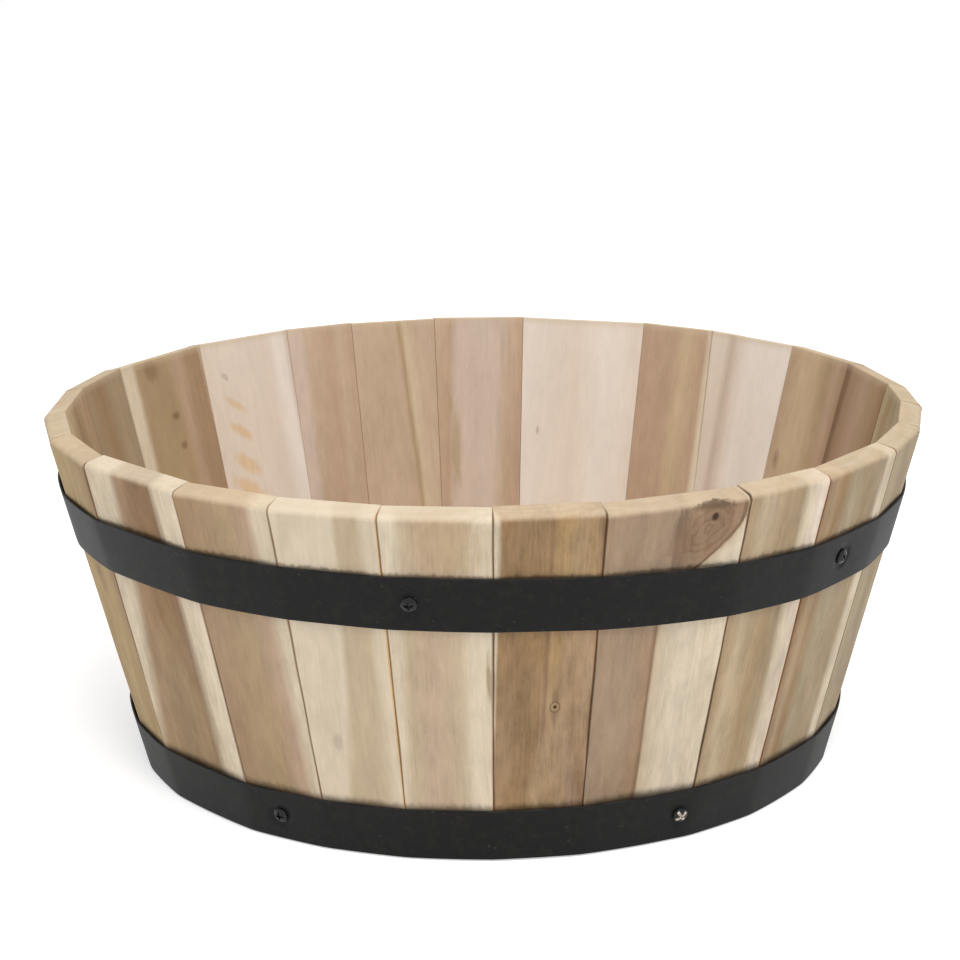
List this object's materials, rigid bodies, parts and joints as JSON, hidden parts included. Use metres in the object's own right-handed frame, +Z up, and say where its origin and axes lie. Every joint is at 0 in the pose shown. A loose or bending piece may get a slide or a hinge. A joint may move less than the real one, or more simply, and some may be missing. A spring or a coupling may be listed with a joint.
{
  "type": "barrel planter",
  "caption": "Low round wooden tub planter: flat staves leaning outwards, hooped by two black steel bands with screws, round a boarded floor with drain holes.",
  "frame": {"origin": "centre of the ground circle that the staves stand on", "axes": "+Z up; -Y is the front, where the picture was taken from; +X to the right"},
  "size_m": [0.5047, 0.505, 0.204],
  "materials": {
    "stave_pale": "bare planed hardwood, unvarnished, matt, with visible grain",
    "stave_honey": "bare planed hardwood, unvarnished, matt, with visible grain",
    "stave_brown": "bare planed hardwood, unvarnished, matt, with visible grain",
    "stave_olive": "bare planed hardwood, unvarnished, matt, with visible grain",
    "floor_wood": "bare planed hardwood, unvarnished, matt, with visible grain",
    "batten_wood": "bare planed hardwood, unvarnished, matt, with visible grain",
    "black_steel": "satin black paint on steel strap, lightly scuffed",
    "black_screws": "black oxide, worn bright in the recess of one",
    "zinc_screws": "bright zinc plate"
  },
  "bodies": {
    "root": {"stave_01": "stave_honey", "stave_02": "stave_brown", "stave_03": "stave_olive", "stave_04": "stave_brown", "stave_05": "stave_olive", "stave_06": "stave_brown", "stave_07": "stave_honey", "stave_08": "stave_honey", "stave_09": "stave_brown", "stave_10": "stave_pale", "stave_11": "stave_brown", "stave_12": "stave_pale", "stave_13": "stave_brown", "stave_14": "stave_honey", "stave_15": "stave_brown", "stave_16": "stave_pale", "stave_17": "stave_honey", "stave_18": "stave_brown", "stave_19": "stave_honey", "stave_20": "stave_olive", "stave_21": "stave_honey", "stave_22": "stave_pale", "stave_23": "stave_brown", "stave_24": "stave_pale", "stave_25": "stave_honey", "floor_board_1": "floor_wood", "floor_board_2": "floor_wood", "floor_board_3": "floor_wood", "floor_board_4": "floor_wood", "floor_board_5": "floor_wood", "batten_left": "batten_wood", "batten_right": "batten_wood", "batten_screws": "zinc_screws", "upper_band": "black_steel", "upper_band_rivets": "black_steel", "upper_band_screws": "black_screws", "lower_band": "black_steel", "lower_band_rivets": "black_steel", "lower_band_screws": "black_screws"}
  },
  "joints": []
}
